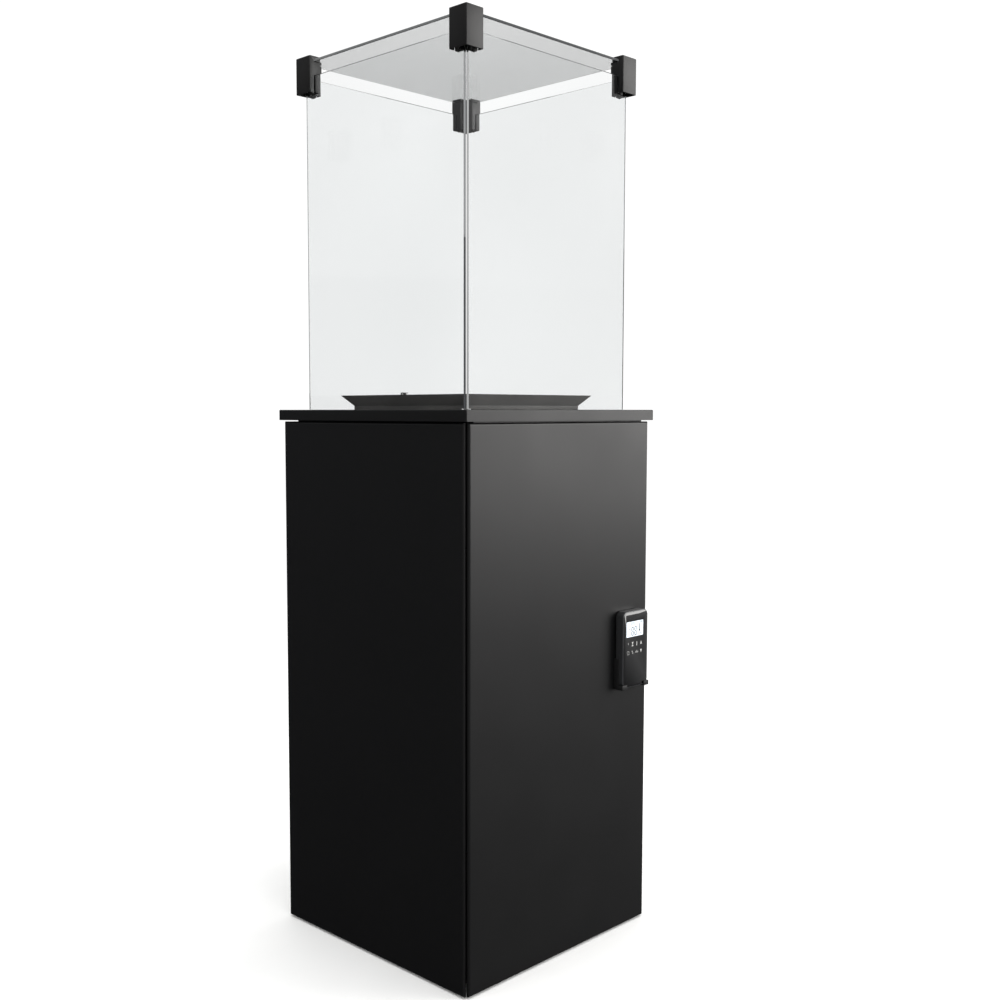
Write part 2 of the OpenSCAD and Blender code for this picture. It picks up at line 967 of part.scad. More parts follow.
module pilot_gas_pipe() {
    color(ZINC)
        square_route([[pilot_xy[0], pilot_xy[1], pilot_base_z + 6], [pilot_xy[0], pilot_xy[1], 774],
            [pilot_xy[0], -118, 774], [-45, -118, 774], [-45, -118, 765]], 2, 6);
}

module ignition_lead() {
    color("firebrick")
        square_route([[electrode_xy[0], electrode_xy[1], pilot_base_z],
            [electrode_xy[0], electrode_xy[1], 782], [electrode_xy[0], -102, 782],
            [100, -102, 782], [100, -164, 782], [100, -164, 770]], 2, 6);
}

module heat_shield() {
    out = frame_out - post_t;
    color(STEEL)
        difference() {
            union() {
                block([-out, -88, 756], [out, 150, 757.5]);
                for (side = [-1, 1])
                    block([side < 0 ? -out : out - 1.5, -60, 756],
                        [side < 0 ? -out + 1.5 : out, 120, 790]);
            }
            for (x = [-100:40:100])
                block([x - 3, 20, 755], [x + 3, 110, 759]);
        }
}

// ---- Controls ----

module control_bracket() {
    color(BLACK)
        difference() {
            union() {
                block([-130, bracket_y, 696], [160, bracket_y + bracket_t, bracket_top]);
                block([-130, frame_front + post_t, bracket_top - bracket_t],
                    [160, bracket_y + bracket_t, bracket_top]);
                block([-130, frame_front + post_t, bracket_top - 18],
                    [160, frame_front + post_t + bracket_t, bracket_top]);
            }
            for (x = [flame_x, pilot_knob_x])
                translate([x, bracket_y + 3, shaft_z])
                    rotate([90, 0, 0])
                        cylinder(h = 6, r = shaft_r + 0.5);
            translate([100, bracket_y + 3, 782])
                rotate([90, 0, 0])
                    cylinder(h = 6, r = 3);
            translate([75, bracket_y + 3, 706])
                rotate([90, 0, 0])
                    cylinder(h = 6, r = 4);
        }
}

module valve_body() {
    color(ZINC)
        difference() {
            union() {
                block(valve_lo, valve_hi);
                translate([valve_lo[0] - 8, -123, 738])
                    rotate([0, 90, 0])
                        hexagon(14, 9);
                for (x = [flame_x, pilot_knob_x])
                    translate([x, valve_lo[1] + eps, shaft_z])
                        rotate([90, 0, 0])
                            cylinder(h = 15 + eps, r = shaft_r);
            }
            block([valve_lo[0] - eps, valve_lo[1] + 12, valve_lo[2] - eps],
                [valve_lo[0] + 14, valve_hi[1] + eps, valve_lo[2] + 12]);
            translate([valve_hi[0] - 16, valve_hi[1] - 12, valve_hi[2] - 3])
                cylinder(h = 5, r = 6);
        }
}

module valve_motor() {
    color(DARK) {
        block([valve_hi[0], -142, 722], [valve_hi[0] + 30, -106, 758]);
        translate([valve_hi[0] + 15, -106, 740])
            rotate([-90, 0, 0])
                cylinder(h = 12, r = 12);
    }
}

// A round knob with a grip bar, on a shaft that ends inside it
module knob(x, r) {
    translate([x, knob_y, shaft_z])
        rotate([90, 0, 0])
            difference() {
                union() {
                    cylinder(h = 8, r = r);
                    cylinder(h = 16, r = r - 3);
                    block([-2.5, 0, 8], [2.5, r - 1, 18]);
                }
                translate([0, 0, -eps])
                    cylinder(h = 12.5 + eps, r = shaft_r + 0.05);
            }
}

module flame_knob() {
    color(DARK)
        knob(flame_x, 16);
}

module pilot_knob() {
    color(DARK)
        knob(pilot_knob_x, 13);
}

// The hose tail that the gas hose is clamped on
module inlet_nipple() {
    color(BRASS)
        translate([inlet_x, inlet_y, valve_lo[2]])
            mirror([0, 0, 1])
                difference() {
                    union() {
                        hexagon(17, 9);
                        cylinder(h = 34, r = 4.75);
                        for (z = [14, 19])
                            translate([0, 0, z])
                                cylinder(h = 4, r1 = 5.4, r2 = 4.75);
                    }
                    translate([0, 0, 2])
                        cylinder(h = 34, r = 3);
                }
}

module receiver_case() {
    lo = receiver_lo;
    hi = receiver_hi;
    color(DARK)
        difference() {
            block(lo, hi);
            block([lo[0] + 2, lo[1] + 3.4, lo[2] + 2], [hi[0] - 2, hi[1] - 2, hi[2] - 2]);
            // the groove that the cover slides in, open at the bottom
            block([lo[0] + 1.2, lo[1] + 1, lo[2] - eps], [hi[0] - 1.2, lo[1] + 3.5, hi[2] - 2]);
            block([lo[0] + 4, lo[1] - eps, lo[2] - eps], [hi[0] - 4, lo[1] + 2, hi[2] - 2]);
            translate([100, -164, hi[2] - 3])
                cylinder(h = 5, r = 2.05);
        }
}

module receiver_cover() {
    lo = receiver_lo;
    hi = receiver_hi;
    color(DARK)
        difference() {
            union() {
                block([lo[0] + 1.4, lo[1] + 1.2, lo[2] + 0.5], [hi[0] - 1.4, lo[1] + 3.2, hi[2] - 2.3]);
                block([lo[0] + 4.3, lo[1] + 0.2, lo[2] + 0.5], [hi[0] - 4.3, lo[1] + 2, hi[2] - 2.3]);
            }
            for (z = [0:3:9])
                block([85, lo[1] - eps, lo[2] + 8 + z], [115, lo[1] + 0.7, lo[2] + 9 + z]);
        }
}

// Four AA cells side by side
module receiver_batteries() {
    color("goldenrod")
        for (i = [0:3])
            translate([receiver_lo[0] + 24 + 16 * i, -164, receiver_lo[2] + 7]) {
                cylinder(h = 49, r = 7);
                cylinder(h = 50.5, r = 2.7);
            }
}

module tilt_switch() {
    color(DARK) {
        block([95, bracket_y + bracket_t, 712], [121, -128, 738]);
        translate([108, -128, 725])
            rotate([-90, 0, 0])
                cylinder(h = 6, r = 9);
    }
}

// The flat lead from the receiver to the valve motor
module control_cable() {
    color(RUBBER)
        square_route([[75, receiver_hi[1], 706], [75, -124, 706], [45, -124, 706],
            [45, -124, 722]], 2.5, 7);
}

// ---- Handset ----

// The handset's outline as a slab from x0 to x1, drawn inwards by inset
module handset_slab(x0, x1, inset) {
    r = handset_corner - inset;
    w = handset_w / 2 - inset;
    translate([x0, handset_y, handset_z + handset_h / 2])
        rotate([90, 0, 90])
            linear_extrude(x1 - x0) {
                square([2 * w, handset_h - 2 * inset - 2 * r], center = true);
                square([2 * w - 2 * r, handset_h - 2 * inset], center = true);
                for (a = [-1, 1])
                    for (b = [-1, 1])
                        translate([a * (w - r), b * (handset_h / 2 - inset - r)])
                            circle(r);
            }
}

module handset_case() {
    x1 = handset_x + handset_t;
    color(DARK)
        difference() {
            handset_slab(handset_x, x1, 0);
            handset_slab(handset_x + 1.6, x1 - face_t, 1.6);
            handset_slab(x1 - face_t - eps, x1 + eps, 1.3);
            block([handset_x - eps, handset_y - cover_w / 2 - 0.2, handset_z - eps],
                [handset_x + 1.7, handset_y + cover_w / 2 + 0.2, handset_z + cover_h + 0.2]);
        }
}

module handset_face() {
    x1 = handset_x + handset_t;
    color([0.03, 0.03, 0.03])
        difference() {
            handset_slab(x1 - face_t, x1, 1.35);
            block([x1 - face_t - eps, display_y - display_w / 2, display_z - display_h / 2],
                [x1 + eps, display_y + display_w / 2, display_z + display_h / 2]);
        }
}

module handset_display() {
    x1 = handset_x + handset_t;
    color([0.86, 0.9, 0.95])
        block([x1 - face_t - 1.5, display_y - display_w / 2, display_z - display_h / 2],
            [x1 - 0.05, display_y + display_w / 2, display_z + display_h / 2]);
}

module handset_battery_cover() {
    color(DARK)
        difference() {
            block([handset_x, handset_y - cover_w / 2, handset_z + 0.1],
                [handset_x + 1.5, handset_y + cover_w / 2, handset_z + cover_h]);
            for (i = [0:3])
                block([handset_x - eps, handset_y - 8, handset_z + 34 + 3 * i],
                    [handset_x + 0.5, handset_y + 8, handset_z + 35 + 3 * i]);
        }
}

// Two AAA cells
module handset_batteries() {
    color("goldenrod")
        for (side = [-1, 1])
            translate([handset_x + 7, handset_y + side * 8, handset_z + 3]) {
                cylinder(h = 43, r = 5);
                cylinder(h = 44.5, r = 1.9);
            }
}

// The holder that the handset drops into
module handset_cradle() {
    lo = handset_y - handset_w / 2 - 0.4;
    hi = handset_y + handset_w / 2 + 0.4;
    front = handset_x + handset_t + 0.3;
    color(DARK)
        difference() {
            block([half_w, lo - 1.5, handset_z - 2], [front + 1.2, hi + 1.5, handset_z + 46]);
            // the pocket
            block([half_w + cradle_t, lo, handset_z - 0.1], [front, hi, handset_z + 60]);
            // the open front, above a low lip
            block([half_w + 9, lo - 3, handset_z + 5], [front + 3, hi + 3, handset_z + 60]);
            // the way out for the handset's battery cover
            block([half_w + cradle_t, handset_y - cover_w / 2 - 1, handset_z - 4],
                [front + 3, handset_y + cover_w / 2 + 1, handset_z + 1]);
            block([front - eps, handset_y - cover_w / 2 - 1, handset_z - 4],
                [front + 3, handset_y + cover_w / 2 + 1, handset_z + 8]);
        }
}

base_tray();
foot_front_left();
foot_front_right();
foot_back_left();
foot_back_right();
corner_posts();
top_frame();
side_panel_left();
side_panel_right();
back_panel();
door_panel();
door_stiffeners();
door_hinge_plates();
hinge_brackets();
hinge_pins();
door_catches();
machine_screws();
top_plate();
seat_gaskets();
glass_front();
glass_right();
glass_back();
glass_left();
glass_lid();
clip_front_left();
clip_front_right();
clip_back_right();
clip_back_left();
clip_inserts();
burner_pan();
burner_plate();
burner_box();
venturi_tube();
air_shutter();
injector();
pilot_shield();
pilot_burner();
thermocouple();
spark_electrode();
main_gas_pipe();
pilot_gas_pipe();
ignition_lead();
heat_shield();
control_bracket();
valve_body();
valve_motor();
flame_knob();
pilot_knob();
inlet_nipple();
receiver_case();
receiver_cover();
receiver_batteries();
tilt_switch();
control_cable();
handset_case();
handset_face();
handset_display();
handset_battery_cover();
handset_batteries();
handset_cradle();
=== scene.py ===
"""The finished surfaces of a free-standing gas patio heater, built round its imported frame.

Metres, +Z up. The door faces -Y, the fixed panels face +X, +Y and -X, and the floor is z = 0.
"""

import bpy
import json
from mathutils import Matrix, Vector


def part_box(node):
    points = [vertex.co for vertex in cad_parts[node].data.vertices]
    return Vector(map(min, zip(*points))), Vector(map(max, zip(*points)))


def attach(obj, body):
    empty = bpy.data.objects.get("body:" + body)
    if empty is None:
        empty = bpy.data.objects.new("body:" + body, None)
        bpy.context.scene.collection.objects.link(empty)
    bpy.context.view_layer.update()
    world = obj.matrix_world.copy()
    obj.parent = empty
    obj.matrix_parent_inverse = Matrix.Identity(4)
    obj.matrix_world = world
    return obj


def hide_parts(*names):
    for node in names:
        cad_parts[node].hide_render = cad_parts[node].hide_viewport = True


bl_info = {
    "name": "Gas patio heater",
    "version": (1, 0, 0),
    "blender": (4, 5, 0),
    "location": "3D View > Sidebar > Heater",
    "description": "Finishes the sheet metal, glass, burner and handset of a gas patio heater",
    "category": "Add Mesh",
}

import json
import math
from functools import cache

import bmesh
import bpy
from bpy.props import FloatProperty, FloatVectorProperty, PointerProperty
from mathutils import Matrix, Vector

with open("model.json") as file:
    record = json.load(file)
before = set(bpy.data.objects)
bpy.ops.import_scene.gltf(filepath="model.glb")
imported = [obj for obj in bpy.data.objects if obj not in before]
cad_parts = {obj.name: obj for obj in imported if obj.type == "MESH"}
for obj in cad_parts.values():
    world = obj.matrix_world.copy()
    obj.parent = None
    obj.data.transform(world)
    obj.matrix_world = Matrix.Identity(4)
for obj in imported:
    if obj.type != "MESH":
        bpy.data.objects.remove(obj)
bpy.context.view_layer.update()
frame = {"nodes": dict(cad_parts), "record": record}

BODY_OF = {
    node: body
    for body, nodes in frame["record"]["behaviour"]["bodies"].items()
    for node in nodes
}
MM = 0.001


def linear(colour):
    """An sRGB hex colour as the linear values that shaders take."""
    parts = [int(colour[i : i + 2], 16) / 255 for i in (1, 3, 5)]
    return tuple(c / 12.92 if c <= 0.04045 else ((c + 0.055) / 1.055) ** 2.4 for c in parts)


def hue(label, note, colour):
    """A colour that a user may change."""
    return FloatVectorProperty(
        name=label, description=note, subtype="COLOR", size=3, min=0, max=1, default=linear(colour)
    )


def length(label, note, millimetres):
    """A length that a user may change."""
    return FloatProperty(
        name=label, description=note, unit="LENGTH", min=0, precision=5, default=millimetres * MM
    )


class HeaterSizes(bpy.types.PropertyGroup):
    """Edge radii and thin layers that the frame leaves sharp."""

    sheet_round: length("Sheet edge", "Radius that powder gives a cut sheet edge", 0.35)
    clip_round: length("Clip fold", "Outside radius of the corner clips' folds", 1.6)
    plate_round: length("Top plate fold", "Outside radius of the top plate's fold", 1.6)
    glass_arris: length("Glass arris", "Width of the ground edge of the glass", 0.6)
    mould_round: length("Moulding edge", "Radius of the moulded plastic edges", 0.6)
    print_depth: length("Print", "Thickness of the handset's print", 0.04)
    floor_radius: length("Floor", "Radius of the studio floor", 3200)


class HeaterColours(bpy.types.PropertyGroup):
    """Colours of the finishes."""

    coat: hue("Cabinet coat", "Satin powder coat of the cabinet", "#0a0a0b")
    clip: hue("Clip coat", "Powder coat of the corner clips", "#100f0f")
    # The stove colour is lighter than the pan's own dark paint: a painted sheen standing in for the soft
    # box's reflection.
    stove: hue("Stove paint", "Heat-proof paint of the burner pan, lightened as painted sheen", "#4a4846")
    plastic: hue("Plastic", "Moulded knobs, receiver and cradle", "#121213")
    gloss: hue("Handset face", "Glossy face of the handset", "#050506")
    shell: hue("Handset case", "Painted case of the handset", "#4a4b4d")
    display: hue("Display", "Background of the handset's display", "#e4edf6")
    wrap: hue("Cell wrap", "Printed wrap of the dry cells", "#b5691c")
    floor: hue("Floor", "Studio floor", "#fbfbfa")


def sizes():
    return bpy.context.scene.heater_sizes


def colours():
    return bpy.context.scene.heater_colours


# ---- Finishes ----


def set_inputs(tree, node, inputs):
    """Links each input to the socket given for it, or sets it to the value."""
    for name, value in inputs.items():
        if isinstance(value, bpy.types.NodeSocket):
            tree.links.new(value, node.inputs[name])
        elif isinstance(value, tuple) and len(value) == 3 and node.inputs[name].type == "RGBA":
            node.inputs[name].default_value = (*value, 1)
        else:
            node.inputs[name].default_value = value


def add_node(tree, kind, inputs=None, **settings):
    """Adds a node with its settings, and its inputs as values or links."""
    node = tree.nodes.new("ShaderNode" + kind)
    for name, value in settings.items():
        setattr(node, name, value)
    set_inputs(tree, node, inputs or {})
    return node


def new_finish(name, inputs):
    """A material with those shader values: itself, its tree, its shader and Object coordinates."""
    material = bpy.data.materials.new(name)
    material.use_nodes = True
    tree = material.node_tree
    shader = tree.nodes["Principled BSDF"]
    set_inputs(tree, shader, inputs)
    return material, tree, shader, add_node(tree, "TexCoord").outputs["Object"]


def per_mm(millimetres):
    """The scale that gives a pattern features of that length."""
    return 1000 / millimetres


def tint(colour, factor):
    """A colour made darker or lighter by a factor."""
    return tuple(min(1.0, c * factor) for c in colour)


def two_tones(tree, pattern, dark, light, low=0.3, high=0.7):
    """Colours from dark to light over the pattern's middle range."""
    blend = add_node(tree, "MapRange", {"Value": pattern, "From Min": low, "From Max": high})
    mix = add_node(tree, "Mix", {0: blend.outputs[0], 6: (*dark, 1), 7: (*light, 1)}, data_type="RGBA")
    return mix.outputs[2]


def spread(tree, pattern, low, high):
    """A pattern of 0.3 to 0.7 spread over low to high, as for roughness."""
    values = {"Value": pattern, "From Min": 0.3, "From Max": 0.7, "To Min": low, "To Max": high}
    return add_node(tree, "MapRange", values).outputs[0]


@cache
def powder_coated_steel():
    """Polyester powder on folded steel, baked: the melted powder leaves a satin skin with fine grain."""
    colour = tuple(colours().coat)
    made, tree, shader, place = new_finish("Powder-coated steel", {"IOR": 1.5})
    # Melted powder grains are about 0.3 mm; they are drawn at 1.4 mm, the finest that shows at 2 m.
    grain = add_node(tree, "TexNoise", {"Vector": place, "Scale": per_mm(1.4), "Detail": 2.0})
    flow = add_node(tree, "TexNoise", {"Vector": place, "Scale": per_mm(90), "Detail": 1.0})
    # The grain times the flow lies round 0.25, and the third value lifts it to the middle of spread's range.
    both = add_node(tree, "Math", {
        0: grain.outputs[0], 1: flow.outputs[0], 2: 0.22,
    }, operation="MULTIPLY_ADD")
    bump = add_node(tree, "Bump", {"Height": grain.outputs[0], "Strength": 0.16, "Distance": 0.3 * MM})
    set_inputs(tree, shader, {
        "Base Color": two_tones(tree, grain.outputs[0], tint(colour, 0.8), tint(colour, 1.25)),
        "Roughness": spread(tree, both.outputs[0], 0.36, 0.44),
        "Normal": bump.outputs[0],
    })
    return made


@cache
def powder_coated_clip():
    """Fine-texture powder on small pressed clips: a touch browner and drier than the cabinet."""
    colour = tuple(colours().clip)
    made, tree, shader, place = new_finish("Powder-coated clip", {"IOR": 1.5})
    grain = add_node(tree, "TexNoise", {"Vector": place, "Scale": per_mm(1.1), "Detail": 3.0})
    bump = add_node(tree, "Bump", {"Height": grain.outputs[0], "Strength": 0.2, "Distance": 0.2 * MM})
    set_inputs(tree, shader, {
        "Base Color": two_tones(tree, grain.outputs[0], tint(colour, 0.8), tint(colour, 1.3)),
        "Roughness": spread(tree, grain.outputs[0], 0.42, 0.5),
        "Normal": bump.outputs[0],
    })
    return made


@cache
def stove_paint_with_painted_sheen():
    """Silicone stove paint, sprayed and cured: matt, warm dark grey, burnt paler in soft patches. The grey
    is lighter than the paint's own, a painted sheen that stands in for the soft box's reflection.
    """
    # This colour is lightened past the paint's own dark grey as painted sheen for the soft box's reflection;
    # the paler heat patches are the paint's own tone.
    colour = tuple(colours().stove)
    made, tree, shader, place = new_finish("Heat-proof stove paint with painted sheen", {"IOR": 1.5})
    spray = add_node(tree, "TexNoise", {"Vector": place, "Scale": per_mm(1.6), "Detail": 2.0})
    heat = add_node(tree, "TexNoise", {"Vector": place, "Scale": per_mm(70), "Detail": 3.0})
    bump = add_node(tree, "Bump", {"Height": spray.outputs[0], "Strength": 0.25, "Distance": 0.2 * MM})
    set_inputs(tree, shader, {
        "Base Color": two_tones(tree, heat.outputs[0], colour, tint(colour, 1.7)),
        "Roughness": spread(tree, spray.outputs[0], 0.4, 0.52),
        "Normal": bump.outputs[0],
    })
    return made


@cache
def toughened_glass():
    """Float glass, toughened: clear and flat, faintly grey-green, with lamps' rays let through."""
    made, tree, shader, place = new_finish("Toughened clear glass", {
        "IOR": 1.5, "Transmission Weight": 1.0, "Roughness": 0.0,
    })
    # The rollers of the oven leave a wave of about 250 mm, far too shallow to blur.
    wave = add_node(tree, "TexNoise", {"Vector": place, "Scale": per_mm(250), "Detail": 0.0})
    bump = add_node(tree, "Bump", {"Height": wave.outputs[0], "Strength": 0.05, "Distance": 0.3 * MM})
    set_inputs(tree, shader, {
        "Base Color": two_tones(tree, wave.outputs[0], linear("#f9fafa"), linear("#fcfdfd")),
        "Normal": bump.outputs[0],
    })
    # What the steel mirrors, and what the lamps light, passes straight through the panes.
    clear = add_node(tree, "BsdfTransparent", {"Color": linear("#f7f8f8")})
    ray = add_node(tree, "LightPath")
    lit = add_node(tree, "MixShader", {
        0: ray.outputs["Is Shadow Ray"], 1: shader.outputs[0], 2: clear.outputs[0],
    })
    mirrored = add_node(tree, "MixShader", {
        0: ray.outputs["Is Reflection Ray"], 1: lit.outputs[0], 2: clear.outputs[0],
    })
    set_inputs(tree, tree.nodes["Material Output"], {"Surface": mirrored.outputs[0]})
    return made


def metal(name, colour, light, roughness, brush=None, millimetres=0.6, depth=0.1):
    """A bare metal with a fine grain, drawn out along brush where it was drawn or brushed."""
    made, tree, shader, place = new_finish(name, {"Metallic": 1.0})
    if brush:
        place = add_node(tree, "Mapping", {"Vector": place, "Scale": brush}).outputs[0]
    grain = add_node(tree, "TexNoise", {"Vector": place, "Scale": per_mm(millimetres), "Detail": 3.0})
    cloud = add_node(tree, "TexNoise", {"Vector": place, "Scale": per_mm(18), "Detail": 2.0})
    bump = add_node(tree, "Bump", {
        "Height": grain.outputs[0], "Strength": 0.3, "Distance": depth * MM,
    })
    set_inputs(tree, shader, {
        "Base Color": two_tones(tree, cloud.outputs[0], linear(colour), linear(light)),
        "Roughness": spread(tree, grain.outputs[0], *roughness),
        "Normal": bump.outputs[0],
    })
    return made


@cache
def stainless_steel():
    """Cold-rolled stainless sheet: grey, brushed along X, with soft streaks in its shine."""
    return metal("Brushed stainless steel", "#9a9a98", "#b9b9b6", (0.22, 0.42), (0.04, 1, 1))


@cache
def burner_steel():
    """Stainless burner steel after firing: straw and blue-brown heat tints in soft rings."""
    made, tree, shader, place = new_finish("Heat-tinted burner steel", {"Metallic": 1.0})
    grain = add_node(tree, "TexNoise", {"Vector": place, "Scale": per_mm(1.2), "Detail": 3.0})
    tints = add_node(tree, "TexNoise", {"Vector": place, "Scale": per_mm(45), "Detail": 2.0})
    ramp = add_node(tree, "ValToRGB", {"Fac": tints.outputs[0]})
    ramp.color_ramp.elements[0].position = 0.32
    ramp.color_ramp.elements[0].color = (*linear("#4b4a4e"), 1)
    ramp.color_ramp.elements[1].position = 0.7
    ramp.color_ramp.elements[1].color = (*linear("#5d564c"), 1)
    ramp.color_ramp.elements.new(0.5).color = (*linear("#57504d"), 1)
    set_inputs(tree, shader, {
        "Base Color": ramp.outputs[0],
        "Roughness": spread(tree, grain.outputs[0], 0.34, 0.5),
    })
    return made


@cache
def zinc_plate():
    """Bright zinc with blue passivation: cool light grey with a cloudy spangle."""
    return metal("Zinc-plated steel", "#a9b0b6", "#c9ced0", (0.28, 0.42), None, 0.9)


@cache
def die_cast_alloy():
    """Die-cast zinc and aluminium alloy, shot-blasted: even, dull and pitted."""
    return metal("Die-cast alloy", "#8b8c8e", "#a2a3a4", (0.42, 0.6), None, 0.8, 0.25)


@cache
def machined_brass():
    """Turned brass: warm yellow with fine lines round it."""
    return metal("Machined brass", "#b8934a", "#cda85c", (0.2, 0.36), None, 0.5)


@cache
def drawn_copper():
    """Drawn copper tube, handled and a little dulled."""
    return metal("Drawn copper", "#a9603f", "#c07a55", (0.24, 0.42), None, 0.8)


@cache
def drawn_aluminium():
    """Soft aluminium tube: pale, dull and lightly scuffed."""
    return metal("Drawn aluminium", "#a4a6a8", "#bcbebf", (0.34, 0.5), None, 0.8)


def moulding(name, colour, inputs, roughness, millimetres, depth, contrast=1.3):
    """A moulded or fired surface with a fine etched grain."""
    made, tree, shader, place = new_finish(name, inputs)
    grain = add_node(tree, "TexNoise", {"Vector": place, "Scale": per_mm(millimetres), "Detail": 2.0})
    bump = add_node(tree, "Bump", {
        "Height": grain.outputs[0], "Strength": 0.3, "Distance": depth * MM,
    })
    set_inputs(tree, shader, {
        "Base Color": two_tones(tree, grain.outputs[0], tint(colour, 1 / contrast), tint(colour, contrast)),
        "Roughness": spread(tree, grain.outputs[0], *roughness),
        "Normal": bump.outputs[0],
    })
    return made


@cache
def moulded_abs():
    """Injection-moulded ABS from a spark-eroded tool: dry black with a leathery fine grain."""
    return moulding("Moulded ABS", tuple(colours().plastic), {"IOR": 1.53}, (0.42, 0.56), 0.9, 0.12)


@cache
def moulded_rubber():
    """Nitrile rubber, compression-moulded: soft dull black."""
    return moulding("Moulded rubber", linear("#171717"), {"IOR": 1.52}, (0.62, 0.78), 1.2, 0.2)


@cache
def black_silicone():
    """Black silicone, extruded or moulded: dark, smooth and a little waxy."""
    return moulding("Black silicone", linear("#1d1c1b"), {"IOR": 1.41}, (0.45, 0.58), 1.5, 0.08)


@cache
def red_silicone():
    """Red silicone sleeve of the spark lead: bright and faintly translucent."""
    inputs = {"IOR": 1.41, "Subsurface Weight": 0.15, "Subsurface Scale": 0.6 * MM}
    return moulding("Red silicone sleeve", linear("#8e1812"), inputs, (0.38, 0.5), 1.5, 0.05, 1.15)


@cache
def fired_ceramic():
    """Fired alumina: off-white, dense, with a faint satin glaze."""
    return moulding("Fired alumina", linear("#d9d3c6"), {"IOR": 1.6}, (0.3, 0.42), 1.0, 0.04, 1.08)


@cache
def handset_paint():
    """Metallic paint on the handset's case: dark silver flake under a satin lacquer."""
    inputs = {"IOR": 1.5, "Metallic": 0.75, "Coat Weight": 0.3, "Coat Roughness": 0.2}
    return moulding("Silver-grey handset paint", tuple(colours().shell), inputs, (0.3, 0.42), 0.5, 0.02)


@cache
def gloss_acrylic():
    """Hard-coated acrylic printed black from behind: deep, mirror-smooth, with the least haze."""
    made, tree, shader, place = new_finish("Glossy black acrylic", {
        "IOR": 1.49, "Coat Weight": 1.0, "Coat Roughness": 0.03,
    })
    colour = tuple(colours().gloss)
    haze = add_node(tree, "TexNoise", {"Vector": place, "Scale": per_mm(30), "Detail": 2.0})
    set_inputs(tree, shader, {
        "Base Color": two_tones(tree, haze.outputs[0], colour, tint(colour, 1.4)),
        "Roughness": spread(tree, haze.outputs[0], 0.05, 0.1),
    })
    return made


@cache
def lcd_panel():
    """Backlit liquid-crystal panel: an even pale blue-white, with its cells as a faint grid."""
    colour = tuple(colours().display)
    made, tree, shader, place = new_finish("Backlit LCD panel", {
        "IOR": 1.5, "Roughness": 0.2, "Emission Color": colour, "Emission Strength": 0.35,
    })
    cells = add_node(tree, "TexVoronoi", {"Vector": place, "Scale": per_mm(0.9), "Randomness": 0.0})
    set_inputs(tree, shader, {
        "Base Color": two_tones(tree, cells.outputs[0], colour, tint(colour, 0.94), 0.2, 0.8),
    })
    return made


@cache
def lcd_segment():
    """Switched liquid crystal: near-black with a blue cast."""
    return moulding("LCD segment", linear("#14161c"), {"IOR": 1.5}, (0.25, 0.3), 0.8, 0.001, 1.1)


@cache
def screen_print():
    """Pale screen print under the acrylic: even warm white."""
    return moulding("Screen print", linear("#c9c9c6"), {"IOR": 1.49}, (0.3, 0.4), 0.4, 0.002, 1.06)


@cache
def cell_wrap():
    """Shrink wrap of a dry cell, the dark part: smooth black film with a metallic print."""
    inputs = {"IOR": 1.5, "Metallic": 0.2}
    return moulding("Dark cell wrap", linear("#17171a"), inputs, (0.26, 0.34), 3.0, 0.03)


@cache
def cell_band():
    """Shrink wrap of a dry cell, the band at its positive end: metallic copper print."""
    inputs = {"IOR": 1.5, "Metallic": 0.7}
    return moulding("Copper cell band", tuple(colours().wrap), inputs, (0.26, 0.34), 3.0, 0.03, 1.1)


@cache
def studio_floor():
    """Matt painted studio floor: pale and even, with the faintest roller mottle."""
    colour = tuple(colours().floor)
    made, tree, shader, place = new_finish("Matt painted floor", {"IOR": 1.45, "Specular IOR Level": 0.2})
    mottle = add_node(tree, "TexNoise", {"Vector": place, "Scale": per_mm(60), "Detail": 3.0})
    set_inputs(tree, shader, {
        "Base Color": two_tones(tree, mottle.outputs[0], tint(colour, 0.985), colour),
        "Roughness": spread(tree, mottle.outputs[0], 0.75, 0.85),
    })
    return made


# ---- Shapes ----


def finished(name, shape, coats, body, slot, *nodes, crease=32):
    """Makes a piece of a shape: its coats, its shading, and the body that it rides on."""
    mesh = bpy.data.meshes.new(name)
    shape.to_mesh(mesh)
    shape.free()
    if not mesh.polygons:
        raise RuntimeError(f"{name} came out empty")
    for coat in coats:
        mesh.materials.append(coat)
    mesh.shade_smooth()
    mesh.set_sharp_from_angle(angle=math.radians(crease))
    piece = bpy.data.objects.new(name, mesh)
    bpy.context.scene.collection.objects.link(piece)
    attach(piece, body)
    if nodes:
        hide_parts(*nodes)
    return piece


def copy_of(node):
    """A node's shape with its loose triangles merged into whole faces."""
    shape = bmesh.new()
    shape.from_mesh(frame["nodes"][node].data)
    bmesh.ops.remove_doubles(shape, verts=shape.verts, dist=0.002 * MM)
    bmesh.ops.dissolve_limit(
        shape, angle_limit=math.radians(1), verts=shape.verts, edges=shape.edges
    )
    return shape


def round_edges(shape, radius, which=lambda edge: True, segments=2, crease=40):
    """Rounds the folds and corners that are sharper than crease and pass the test."""
    sharp = [
        e
        for e in shape.edges
        if e.is_manifold and abs(e.calc_face_angle()) > math.radians(crease) and which(e)
    ]
    if not sharp:
        raise RuntimeError("no edge to round")
    bmesh.ops.bevel(
        shape, geom=sharp, offset=radius, segments=segments, profile=0.5,
        affect="EDGES", material=-1, clamp_overlap=True,
    )


def coat_faces(shape, index, which):
    """Gives the faces whose centre passes the test the coat of that index."""
    for face in shape.faces:
        if which(face.calc_center_median()):
            face.material_index = index


def rework(node, coats, slot, radius=0.0, which=lambda edge: True, second=None, segments=2):
    """A node's own shape with rounded edges, and a second coat where second(point) is true."""
    shape = copy_of(node)
    if second:
        coat_faces(shape, 1, second)
    if radius:
        round_edges(shape, radius, which, segments)
    return finished(node + ".finished", shape, coats, BODY_OF[node], slot, node)


def dress(coat, *nodes):
    """Gives nodes whose shape is right their finish."""
    for node in nodes:
        for slot in frame["nodes"][node].material_slots:
            slot.material = coat


# ---- Pieces ----


